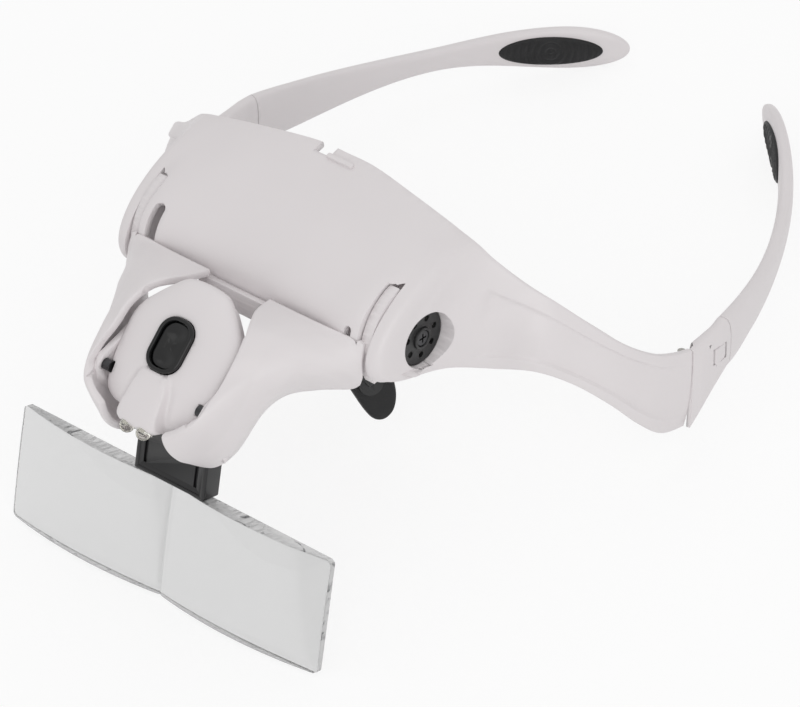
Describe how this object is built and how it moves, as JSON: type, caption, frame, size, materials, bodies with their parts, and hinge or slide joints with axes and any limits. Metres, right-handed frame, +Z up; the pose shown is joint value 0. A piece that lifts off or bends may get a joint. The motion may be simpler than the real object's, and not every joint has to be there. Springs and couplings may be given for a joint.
{
  "type": "head magnifier",
  "caption": "White lighted head magnifier: brow shell with folding temple arms, a tilting visor with a small lamp, and a wide clip-in lens below.",
  "frame": {"origin": "middle of the piece's bounding box, at the table that the lens edge and the temple tips stand on", "axes": "+X to the wearer's left, +Y to the back of the wearer's head, +Z up"},
  "size_m": [0.1706, 0.2286, 0.081],
  "materials": {
    "white_shell": "soft satin moulding",
    "black_plastic": "fine matt",
    "black_rubber": "soft matt",
    "steel": "zinc plated",
    "bright_metal": "polished reflector",
    "spring_brass": "plain",
    "circuit_board": "solder mask",
    "clear_acrylic": "polished acrylic",
    "bulb_glass": "clear epoxy"
  },
  "bodies": {
    "frame": {"brow_shell": "white_shell", "brow_liner": "white_shell", "brow_screws": "steel", "nose_bridge": "white_shell", "nose_pad_left": "black_rubber", "nose_pad_right": "black_rubber", "nose_pad_screws": "steel", "hub_washers": "steel", "hinge_pins": "steel"},
    "visor": {"visor_yoke": "white_shell", "hub_cap_left": "black_plastic", "hub_cap_right": "black_plastic", "hub_screws": "steel", "lamp_pivot_pins": "steel"},
    "lens_cartridge": {"lens_clip": "black_plastic", "lens": "clear_acrylic"},
    "lamp": {"lamp_housing": "white_shell", "battery_cover": "white_shell", "battery_cover_screw": "steel", "coin_cells": "steel", "cell_contacts": "spring_brass", "lamp_board": "circuit_board", "switch_body": "black_plastic", "switch_bezel": "black_plastic", "bulbs": "bulb_glass", "bulb_collars": "bright_metal"},
    "switch": {"switch_rocker": "black_plastic"},
    "temple_left": {"temple_socket_left": "white_shell", "temple_arm_left": "white_shell", "temple_pad_left": "black_rubber"},
    "temple_right": {"temple_socket_right": "white_shell", "temple_arm_right": "white_shell", "temple_pad_right": "black_rubber"},
    "latch_left": {"temple_latch_left": "white_shell"},
    "latch_right": {"temple_latch_right": "white_shell"}
  },
  "joints": [
    {"name": "visor_swing", "type": "hinge", "parent": "frame", "child": "visor", "pos_m": [0, -0.0442, 0.06017], "axis": [1, 0, 0], "range_deg": [-48, 10]},
    {"name": "lamp_tilt", "type": "hinge", "parent": "visor", "child": "lamp", "pos_m": [0, -0.09646, 0.06348], "axis": [1, 0, 0], "range_deg": [0, 22]},
    {"name": "lens_pull", "type": "slide", "parent": "visor", "child": "lens_cartridge", "axis": [0, -0.3999, -0.9166], "range_m": [0, 0.01]},
    {"name": "switch_rock", "type": "hinge", "parent": "lamp", "child": "switch", "pos_m": [0, -0.08798, 0.07125], "axis": [1, 0, 0], "range_deg": [-5, 5]},
    {"name": "temple_fold_left", "type": "hinge", "parent": "frame", "child": "temple_left", "pos_m": [0.0796, 0.00829, 0.01867], "axis": [0, 0.2431, 0.97], "range_deg": [0, 80]},
    {"name": "temple_fold_right", "type": "hinge", "parent": "frame", "child": "temple_right", "pos_m": [-0.0796, 0.00829, 0.01867], "axis": [0, -0.2431, -0.97], "range_deg": [0, 58]},
    {"name": "latch_press_left", "type": "slide", "parent": "temple_left", "child": "latch_left", "axis": [-0.9833, -0.1768, 0.0443], "range_m": [0, 0.0007], "stiffness_N_per_m": 120},
    {"name": "latch_press_right", "type": "slide", "parent": "temple_right", "child": "latch_right", "axis": [0.9833, -0.1768, 0.0443], "range_m": [0, 0.0007], "stiffness_N_per_m": 120}
  ]
}
